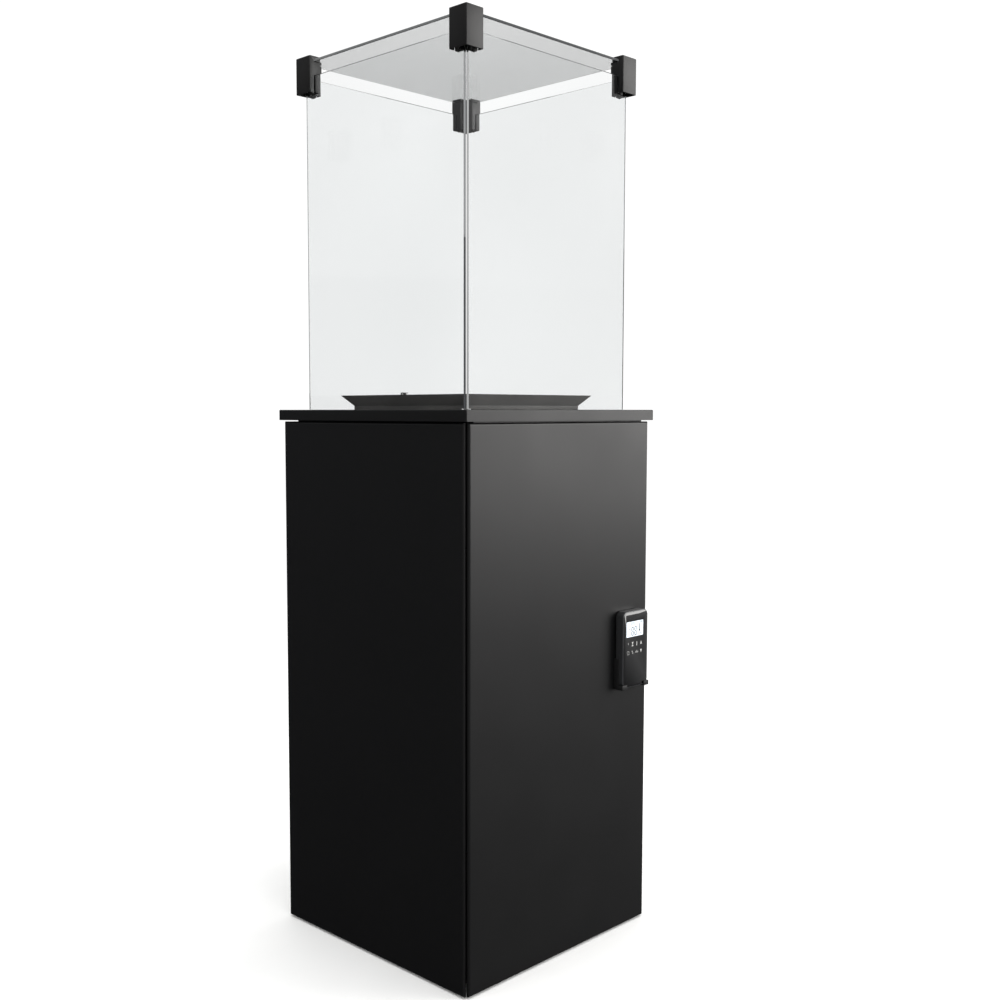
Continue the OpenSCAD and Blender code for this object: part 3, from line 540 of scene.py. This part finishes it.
class StudioStage(bpy.types.Operator):
    """A pale floor, soft studio light and the camera"""

    bl_idname = "heater.studio_stage"
    bl_label = "Studio stage"

    def execute(self, context):
        scene = context.scene
        floor = bmesh.new()
        bmesh.ops.create_circle(floor, cap_ends=True, segments=96, radius=sizes().floor_radius)
        mesh = bpy.data.meshes.new("Studio.floor")
        floor.to_mesh(mesh)
        floor.free()
        mesh.materials.append(studio_floor())
        ground = bpy.data.objects.new("Studio.floor", mesh)
        ground.visible_glossy = False
        scene.collection.objects.link(ground)

        self.room(scene)
        # A tall soft box behind the right-hand corner, and two dim ones for the other sides.
        self.soft_box("Soft.right", (2.35, 2.5, 1.65), (0.2, 0.0, 0.9), 2.6, 2.4, 80,
                      (1.0, 0.985, 0.97))
        self.soft_box("Soft.left", (-3.0, -2.6, 2.2), (0.0, 0.0, 0.7), 1.6, 1.6, 2)
        self.soft_box("Soft.top", (0.4, -0.6, 4.2), (0.0, 0.0, 0.0), 3.0, 3.0, 60)

        lens = bpy.data.cameras.new("Camera")
        lens.lens = 43.45
        lens.sensor_width = 36
        lens.shift_x = 0.0338
        lens.shift_y = 0.0056
        camera = bpy.data.objects.new("Camera", lens)
        camera.location = (1.3310, -1.3310, 0.8066)
        camera.rotation_euler = (math.radians(85.535), 0, math.radians(45))
        scene.collection.objects.link(camera)
        scene.camera = camera
        scene.view_settings.view_transform = "Standard"
        return {"FINISHED"}

    def room(self, scene):
        """White walls to look at, and a dim room to mirror, brighter behind the right-hand corner."""
        room = bpy.data.worlds.new("Studio room")
        room.use_nodes = True
        scene.world = room
        tree = room.node_tree
        plain = tree.nodes["Background"]
        set_inputs(tree, plain, {"Color": linear("#ffffff"), "Strength": 1.06})
        way = add_node(tree, "TexCoord").outputs["Generated"]
        side = add_node(tree, "VectorMath", {0: way, 1: (0.7, 0.7, 0.15)}, operation="DOT_PRODUCT")
        across = add_node(tree, "MapRange", {"Value": side.outputs["Value"], "From Min": -1.0})
        walls = add_node(tree, "ValToRGB", {"Fac": across.outputs[0]})
        walls.color_ramp.elements[0].color = (0.06, 0.062, 0.068, 1)
        walls.color_ramp.elements[1].color = (0.5, 0.5, 0.5, 1)
        up = add_node(tree, "SeparateXYZ", {"Vector": way}).outputs[2]
        fall = add_node(tree, "MapRange", {
            "Value": up, "From Min": -0.45, "From Max": 0.1, "To Min": 0.15, "To Max": 1.0,
        })
        dim = add_node(tree, "Background", {
            "Color": walls.outputs[0], "Strength": fall.outputs[0],
        })
        ray = add_node(tree, "LightPath")
        mirrored = add_node(tree, "Math", {
            0: ray.outputs["Glossy Depth"], 1: ray.outputs["Diffuse Depth"],
        }, operation="SUBTRACT", use_clamp=True)
        either = add_node(tree, "MixShader", {
            0: mirrored.outputs[0], 1: plain.outputs[0], 2: dim.outputs[0],
        })
        set_inputs(tree, tree.nodes["World Output"], {"Surface": either.outputs[0]})

    def soft_box(self, name, place, aim, wide, tall, watts, colour=(1.0, 1.0, 1.0)):
        """A rectangular soft box at place that faces aim."""
        box = bpy.data.lights.new(name, "AREA")
        box.shape = "RECTANGLE"
        box.size, box.size_y, box.energy = wide, tall, watts
        box.color = colour
        lamp = bpy.data.objects.new(name, box)
        lamp.location = place
        lamp.rotation_euler = (Vector(place) - Vector(aim)).to_track_quat("Z", "Y").to_euler()
        lamp.visible_camera = False
        lamp.visible_transmission = False
        bpy.context.scene.collection.objects.link(lamp)


class CabinetSheet(bpy.types.Operator):
    """The powder-coated door, panels, frame and bottle floor"""

    bl_idname = "heater.cabinet_sheet"
    bl_label = "Cabinet sheet metal"

    def execute(self, context):
        dress(
            powder_coated_steel(), "door_panel", "side_panel_left", "side_panel_right",
            "back_panel", "corner_posts", "top_frame", "base_tray", "control_bracket",
        )
        rework("door_stiffeners", [powder_coated_steel()], "powder_coat", sizes().sheet_round)
        return {"FINISHED"}


class TopPlate(bpy.types.Operator):
    """The folded top plate and the soft strips under it"""

    bl_idname = "heater.top_plate"
    bl_label = "Top plate"

    def execute(self, context):
        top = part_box("top_plate")[1]

        def outer_top(edge):
            return all(
                v.co.z > top.z - 0.1 * MM and max(abs(v.co.x), abs(v.co.y)) > top.x - 2.5 * MM
                for v in edge.verts
            )

        rework(
            "top_plate", [powder_coated_steel()], "powder_coat",
            sizes().plate_round, outer_top, segments=4,
        )
        dress(black_silicone(), "seat_gaskets")
        return {"FINISHED"}


class HingesAndFixings(bpy.types.Operator):
    """Pivot plates, pins, magnet catches and screws"""

    bl_idname = "heater.hinges_and_fixings"
    bl_label = "Hinges, catches and screws"

    def execute(self, context):
        for node in ("door_hinge_plates", "hinge_brackets"):
            rework(node, [zinc_plate()], "zinc_plate", 0.3 * MM)
        dress(stainless_steel(), "hinge_pins")
        dress(zinc_plate(), "machine_screws")
        rework("door_catches", [moulded_abs()], "black_plastic", sizes().mould_round)
        return {"FINISHED"}


class ScrewFeet(bpy.types.Operator):
    """Four screw feet: a rubber pad on a zinc-plated stud"""

    bl_idname = "heater.screw_feet"
    bl_label = "Screw feet"

    def execute(self, context):
        pad_top = 8.01 * MM
        for spot in ("front_left", "front_right", "back_left", "back_right"):
            rework(
                "foot_" + spot, [moulded_rubber(), zinc_plate()], "foot_rubber", 0.5 * MM,
                second=lambda centre: centre.z > pad_top, segments=3,
            )
        return {"FINISHED"}


class GlassBox(bpy.types.Operator):
    """Four glass walls and the lid, with ground edges"""

    bl_idname = "heater.glass_box"
    bl_label = "Glass walls and lid"

    def execute(self, context):
        no_mirror = bpy.data.collections.new("Not mirrored")
        for wall in ("glass_front", "glass_right", "glass_back", "glass_left", "glass_lid"):
            piece = rework(
                wall, [toughened_glass()], "clear_glass", sizes().glass_arris, segments=1
            )
            no_mirror.objects.link(piece)
        # The tall soft box would stand in the right-hand wall as a hard white sheet.
        for member in no_mirror.collection_objects:
            member.light_linking.link_state = "EXCLUDE"
        context.scene.objects["Soft.right"].light_linking.receiver_collection = no_mirror
        return {"FINISHED"}


class CornerClips(bpy.types.Operator):
    """Four folded corner clips and the moulded inserts inside them"""

    bl_idname = "heater.corner_clips"
    bl_label = "Corner clips"

    def execute(self, context):
        for spot in ("front_left", "front_right", "back_right", "back_left"):
            self.clip("clip_" + spot)
        rework("clip_inserts", [black_silicone()], "silicone", 0.3 * MM)
        return {"FINISHED"}

    def clip(self, node):
        """A pressed clip: soft folds outside, and a thin round on every cut edge."""
        shape = copy_of(node)
        low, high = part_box(node)
        out = max(abs(low.x), abs(high.x))

        def fold(edge):
            faces = [f.normal for f in edge.link_faces]
            outside = [
                abs(abs(v.co.x) - out) < 0.1 * MM or abs(abs(v.co.y) - out) < 0.1 * MM
                for v in edge.verts
            ]
            return all(outside) and all(n.z > -0.5 for n in faces)

        round_edges(shape, sizes().clip_round, fold, 4)
        round_edges(shape, sizes().sheet_round, crease=60)
        finished(
            node + ".finished", shape, [powder_coated_clip()], BODY_OF[node], "clip_coat", node
        )


class BurnerPan(bpy.types.Operator):
    """The flared burner pan, its burner plate and the pilot's cover"""

    bl_idname = "heater.burner_pan"
    bl_label = "Burner pan and plate"

    def execute(self, context):
        # The stove paint carries a painted sheen: its grey is lightened to stand in for the soft box's
        # reflection.
        rework("burner_pan", [stove_paint_with_painted_sheen()], "heat_paint", 0.4 * MM)
        rework("pilot_shield", [stove_paint_with_painted_sheen()], "heat_paint", sizes().sheet_round)
        dress(burner_steel(), "burner_plate", "burner_box", "pilot_burner")
        return {"FINISHED"}


class GasTrain(bpy.types.Operator):
    """Venturi, air shutter, injector, pipes, leads, thermocouple and electrode"""

    bl_idname = "heater.gas_train"
    bl_label = "Gas and spark train"

    def execute(self, context):
        dress(stainless_steel(), "venturi_tube", "heat_shield")
        dress(zinc_plate(), "air_shutter")
        dress(machined_brass(), "injector", "inlet_nipple")
        dress(drawn_copper(), "main_gas_pipe")
        dress(drawn_aluminium(), "pilot_gas_pipe")
        dress(red_silicone(), "ignition_lead")
        dress(black_silicone(), "control_cable")
        bare_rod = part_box("spark_electrode")[1].z - 9 * MM
        rework(
            "spark_electrode", [fired_ceramic(), stainless_steel()], "ceramic",
            second=lambda centre: centre.z > bare_rod,
        )
        steel_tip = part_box("thermocouple")[1].z - 24 * MM
        rework(
            "thermocouple", [drawn_copper(), stainless_steel()], "copper",
            second=lambda centre: centre.z > steel_tip,
        )
        return {"FINISHED"}


class GasControls(bpy.types.Operator):
    """The gas valve, its motor, its two knobs with their pointers, and the tilt switch"""

    bl_idname = "heater.gas_controls"
    bl_label = "Gas valve and knobs"

    def execute(self, context):
        rework("valve_body", [die_cast_alloy()], "cast_alloy", 1.2 * MM, segments=3)
        for node in ("valve_motor", "tilt_switch"):
            rework(node, [moulded_abs()], "black_plastic", 0.8 * MM, segments=3)
        for node in ("flame_knob", "pilot_knob"):
            rework(node, [moulded_abs()], "black_plastic", sizes().mould_round, segments=3)
            self.pointer(node)
        return {"FINISHED"}

    def pointer(self, node):
        """A pale line inlaid in the front of a knob's grip."""
        low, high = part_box(node)
        middle = (low.x + high.x) / 2
        base = high.z - 12 * MM
        shape = bmesh.new()
        size = Matrix.Diagonal((1.2 * MM, 0.1 * MM, 9 * MM, 1))
        spot = Matrix.Translation((middle, low.y - 0.02 * MM, base + 6 * MM))
        bmesh.ops.create_cube(shape, size=1, matrix=spot @ size)
        round_edges(shape, 0.02 * MM)
        finished(node + ".pointer", shape, [screen_print()], node, "black_plastic")


def cell_pieces(node, nub_rise):
    """Dry cells: a dark wrap, a copper band at the positive end, and steel caps."""
    low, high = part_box(node)
    top = high.z - nub_rise
    shape = copy_of(node)
    whole = shape.verts[:] + shape.edges[:] + shape.faces[:]
    band = low.z + 0.68 * (top - low.z)
    bmesh.ops.bisect_plane(shape, geom=whole, dist=1e-6, plane_co=(0, 0, band), plane_no=(0, 0, 1))
    coat_faces(shape, 1, lambda centre: centre.z > band)
    coat_faces(shape, 2, lambda centre: centre.z > top + 0.01 * MM or centre.z < low.z + 0.01 * MM)
    round_edges(shape, 0.5 * MM, segments=3)
    finished(
        node + ".finished", shape, [cell_wrap(), cell_band(), stainless_steel()],
        BODY_OF[node], "battery_wrap", node,
    )


class RadioReceiver(bpy.types.Operator):
    """The receiver's case, its sliding cover and four AA cells"""

    bl_idname = "heater.radio_receiver"
    bl_label = "Receiver"

    def execute(self, context):
        for node in ("receiver_case", "receiver_cover"):
            rework(node, [moulded_abs()], "black_plastic", 0.5 * MM, segments=3)
        cell_pieces("receiver_batteries", 1.5 * MM)
        return {"FINISHED"}


class Handset(bpy.types.Operator):
    """The handset: painted case, glossy face, display, cover and cells, in its cradle"""

    bl_idname = "heater.handset"
    bl_label = "Handset and cradle"

    def execute(self, context):
        low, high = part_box("handset_case")
        middle = (low + high) / 2
        half = (high - low) / 2
        corner = 10 * MM

        def outline(edge):
            """True on the outer rims, a quarter of a millimetre deep."""
            for v in edge.verts:
                if min(abs(v.co.x - low.x), abs(v.co.x - high.x)) > 0.05 * MM:
                    return False
                across = max(abs(v.co.y - middle.y) - (half.y - corner), 0)
                along = max(abs(v.co.z - middle.z) - (half.z - corner), 0)
                if math.hypot(across, along) < corner - 0.25 * MM:
                    return False
            return True

        rework("handset_case", [handset_paint()], "handset_shell", 0.9 * MM, outline, segments=4)
        rework("handset_face", [gloss_acrylic()], "handset_gloss", 0.15 * MM)

        def upright(edge):
            return abs(edge.verts[0].co.x - edge.verts[1].co.x) > 1 * MM

        rework("handset_display", [lcd_panel()], "display", 0.9 * MM, upright, segments=4)
        for node in ("handset_battery_cover", "handset_cradle"):
            rework(node, [moulded_abs()], "black_plastic", 0.35 * MM)
        cell_pieces("handset_batteries", 1.5 * MM)
        return {"FINISHED"}


# ---- The handset's print: drawn flat in millimetres, u across and v up from the case's middle ----


def bar(ink, a, b, wide):
    """A straight bar from a to b."""
    a, b = Vector(a), Vector(b)
    turn = Matrix.Rotation(math.atan2(b.y - a.y, b.x - a.x), 4, "Z")
    size = Matrix.Diagonal(((b - a).length, wide, 1, 1))
    place = Matrix.Translation(((a.x + b.x) / 2, (a.y + b.y) / 2, 0))
    bmesh.ops.create_grid(ink, x_segments=1, y_segments=1, size=0.5, matrix=place @ turn @ size)


def bars(ink, wide, *points):
    """Bars from point to point."""
    for a, b in zip(points, points[1:]):
        bar(ink, a, b, wide)


def disc(ink, at, wide, tall=None, line=0.0, steps=28):
    """A filled disc or oval, or a ring of it that is line wide."""
    size = Matrix.Diagonal((wide, tall or wide, 1, 1))
    place = Matrix.Translation((*at, 0))
    rim = bmesh.ops.create_circle(ink, cap_ends=True, segments=steps, radius=1, matrix=place @ size)
    face = rim["verts"][0].link_faces[0]
    if line:
        bmesh.ops.inset_region(ink, faces=[face], thickness=line, use_even_offset=True)
        bmesh.ops.delete(ink, geom=[face], context="FACES_ONLY")


def patch(ink, *points):
    """A flat patch with those corners."""
    ink.faces.new([ink.verts.new((*p, 0)) for p in points])


def digit(ink, at, wide, tall, line):
    """A seven-segment figure with every segment on."""
    u, v = at
    x, y, gap = wide / 2 - line / 2, tall / 2 - line / 2, 0.55 * line
    for level in (-y, 0, y):
        bar(ink, (u - x + gap, v + level), (u + x - gap, v + level), line)
    for side in (-x, x):
        for end in (-y, y):
            clear = math.copysign(gap, end)
            bar(ink, (u + side, v + clear), (u + side, v + end - clear), line)
        for end in (-y, y):
            disc(ink, (u + side, v + end), 0.5 * line, steps=4)


def words(ink, text, at, tall):
    """Generic lettering, made a mesh before it is placed."""
    face = bpy.data.curves.new("Lettering", "FONT")
    face.body, face.size, face.align_x = text, tall * 1.35, "CENTER"
    holder = bpy.data.objects.new("Lettering", face)
    bpy.context.scene.collection.objects.link(holder)
    mesh = bpy.data.meshes.new_from_object(holder)
    mesh.transform(Matrix.Translation((at[0], at[1] - tall / 2, 0)))
    ink.from_mesh(mesh)
    bpy.data.objects.remove(holder)
    bpy.data.curves.remove(face)
    bpy.data.meshes.remove(mesh)


def plus(ink, at, arm, wide):
    u, v = at
    bars(ink, wide, (u - arm, v), (u + arm, v))
    bars(ink, wide, (u, v - arm), (u, v - wide / 2))
    bars(ink, wide, (u, v + wide / 2), (u, v + arm))


def hourglass(ink, at, half):
    u, v = at
    for end in (-1, 1):
        patch(ink, (u - 0.62 * half, v + end * 0.8 * half), (u, v + end * 0.1 * half),
              (u + 0.62 * half, v + end * 0.8 * half))
        bar(ink, (u - 0.72 * half, v + end * half), (u + 0.72 * half, v + end * half), 0.16 * half)


def thermometer(ink, at, half, wide):
    u, v = at
    disc(ink, (u, v - half + wide), wide)
    bar(ink, (u, v - half + wide), (u, v + half - 0.5 * wide), wide)
    disc(ink, (u, v + half - 0.5 * wide), 0.5 * wide, steps=12)
    for step in range(4):
        level = v - 0.1 * half + step * 0.28 * half
        bar(ink, (u + 0.6 * wide, level), (u + 1.05 * wide, level), 0.2 * wide)


def flames(ink, at, half):
    u, v = at
    for du, rise in ((-1.1, 0.55), (0, 1.0), (1.1, 0.55)):
        foot, waist, top = v - half, v - 0.1 * half * rise, v - half + 2 * half * rise
        bars(ink, 0.22 * half, (u + (du - 0.5) * half, foot), (u + (du - 0.38) * half, waist),
             (u + du * half, top), (u + (du + 0.38) * half, waist), (u + (du + 0.5) * half, foot))


def clock(ink, at, radius):
    u, v = at
    disc(ink, at, radius, line=0.28 * radius)
    bars(ink, 0.2 * radius, (u, v + 0.6 * radius), (u, v), (u + 0.42 * radius, v + 0.3 * radius))
    side = 1.42 * radius
    bars(ink, 0.14 * radius, (u - side, v - side), (u + side, v - side), (u + side, v + side),
         (u - side, v + side), (u - side, v - side))


def arrow(ink, at, half, up):
    u, v = at
    patch(ink, (u - 0.75 * half, v - up * half), (u, v - up * 0.6 * half), (u, v + up * half))
    patch(ink, (u, v - up * 0.6 * half), (u + 0.75 * half, v - up * half), (u, v + up * half))


def printed(name, ink, front, coat, slot):
    """Gives a flat drawing its thickness and lays it on the handset's front."""
    low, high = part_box("handset_case")
    flat = ink.faces[:]
    risen = bmesh.ops.extrude_face_region(ink, geom=flat, use_keep_orig=True)["geom"]
    risen = [v for v in risen if isinstance(v, bmesh.types.BMVert)]
    bmesh.ops.translate(ink, verts=risen, vec=(0, 0, sizes().print_depth / MM))
    bmesh.ops.recalc_face_normals(ink, faces=ink.faces)
    # The drawing's u, v and thickness become +Y, +Z and +X.
    turn = Matrix(((0, 0, 1, 0), (1, 0, 0, 0), (0, 1, 0, 0), (0, 0, 0, 1)))
    place = Matrix.Translation((front, (low.y + high.y) / 2, (low.z + high.z) / 2))
    bmesh.ops.transform(ink, matrix=place @ Matrix.Scale(MM, 4) @ turn, verts=ink.verts)
    return finished(name, ink, [coat], "handset", slot)


class HandsetPrint(bpy.types.Operator):
    """The printed touch keys and the display's switched-on symbols"""

    bl_idname = "heater.handset_print"
    bl_label = "Handset keys and display symbols"

    def execute(self, context):
        keys = bmesh.new()
        columns, rows = (-17.5, -6.9, 3.8, 14.6), (7.6, -5.0)
        for u in columns:
            for v in rows:
                disc(keys, (u, v), 4.0, 5.2, line=0.45, steps=36)
        top, low = rows
        disc(keys, (columns[0], top), 2.2, line=0.6)
        bar(keys, (columns[0], top + 0.2), (columns[0], top + 2.8), 0.7)
        hourglass(keys, (columns[1], top), 3.0)
        thermometer(keys, (columns[2], top), 3.4, 0.95)
        arrow(keys, (columns[3], top), 2.8, 1)
        clock(keys, (columns[0], low), 1.75)
        plus(keys, (columns[1] - 0.7, low + 1.3), 1.3, 0.5)
        plus(keys, (columns[1] + 0.8, low - 1.3), 1.3, 0.5)
        flames(keys, (columns[2], low), 2.0)
        arrow(keys, (columns[3], low), 2.8, -1)
        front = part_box("handset_face")[1].x - 0.01 * MM
        printed("Handset.key_print", keys, front, screen_print(), "handset_gloss")

        lit = bmesh.new()
        for u in (-7.05, 0.75):
            digit(lit, (u, 27.7), 6.4, 13.7, 1.45)
        for u in (-10.4, -7.75, -4.3, -1.4):
            digit(lit, (u, 39.5), 2.05, 4.7, 0.55)
        for v in (38.5, 40.6):
            disc(lit, (-6.0, v), 0.3, steps=8)
        for text, at in (("AM", (2.0, 41.1)), ("PM", (2.0, 39.2)), ("ON", (-13.1, 27.1)),
                         ("OFF", (-13.1, 25.0)), ("1", (-19.4, 21.8)), ("2", (-16.6, 21.8))):
            words(lit, text, at, 1.5)
        disc(lit, (-18.2, 40.4), 1.6, 1.35, line=0.4)
        disc(lit, (-15.6, 38.7), 1.5, line=0.25)
        hourglass(lit, (-15.9, 33.2), 2.6)
        clock(lit, (-18.2, 26.6), 1.7)
        disc(lit, (5.6, 35.2), 0.95, line=0.35, steps=16)
        bars(lit, 0.35, (4.1, 37.6), (5.6, 38.2), (7.1, 37.6))
        bars(lit, 0.3, (4.7, 36.7), (5.6, 37.0), (6.5, 36.7))
        bars(lit, 0.5, (7.4, 33.0), (5.8, 33.0), (5.8, 28.8), (7.4, 28.8))
        bar(lit, (5.8, 30.9), (7.2, 30.9), 0.5)
        thermometer(lit, (10.5, 32.2), 6.2, 1.7)
        plus(lit, (6.5, 24.8), 1.3, 0.5)
        plus(lit, (7.9, 22.4), 1.3, 0.5)
        flames(lit, (13.6, 23.2), 2.3)
        bars(lit, 0.3, (12.2, 39.2), (17.6, 39.2), (17.6, 41.6), (12.2, 41.6), (12.2, 39.2))
        for step in range(4):
            bar(lit, (12.9 + 1.25 * step, 39.6), (13.5 + 1.25 * step, 41.2), 0.6)
        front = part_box("handset_display")[1].x - 0.01 * MM
        printed("Handset.display_symbols", lit, front, lcd_segment(), "display")
        return {"FINISHED"}


class HeaterPanel(bpy.types.Panel):
    """Lists the heater's steps, sizes and colours"""

    bl_idname = "HEATER_PT_pieces"
    bl_label = "Gas patio heater"
    bl_space_type = "VIEW_3D"
    bl_region_type = "UI"
    bl_category = "Heater"

    def draw(self, context):
        for step in STEPS:
            self.layout.operator(step.bl_idname)
        for group in (context.scene.heater_sizes, context.scene.heater_colours):
            column = self.layout.column()
            for name in group.bl_rna.properties.keys():
                if name not in ("rna_type", "name"):
                    column.prop(group, name)


STEPS = (
    StudioStage, CabinetSheet, TopPlate, HingesAndFixings, ScrewFeet, GlassBox, CornerClips,
    BurnerPan, GasTrain, GasControls, RadioReceiver, Handset, HandsetPrint,
)


def register():
    for kind in (HeaterSizes, HeaterColours, *STEPS, HeaterPanel):
        bpy.utils.register_class(kind)
    bpy.types.Scene.heater_sizes = PointerProperty(type=HeaterSizes)
    bpy.types.Scene.heater_colours = PointerProperty(type=HeaterColours)


def unregister():
    del bpy.types.Scene.heater_sizes
    del bpy.types.Scene.heater_colours
    for kind in (HeaterPanel, *reversed(STEPS), HeaterColours, HeaterSizes):
        bpy.utils.unregister_class(kind)


def main():
    register()
    for step in STEPS:
        group, name = step.bl_idname.split(".")
        if getattr(getattr(bpy.ops, group), name)() != {"FINISHED"}:
            raise RuntimeError(f"{step.bl_label} didn't finish")


if __name__ == "__main__":
    main()
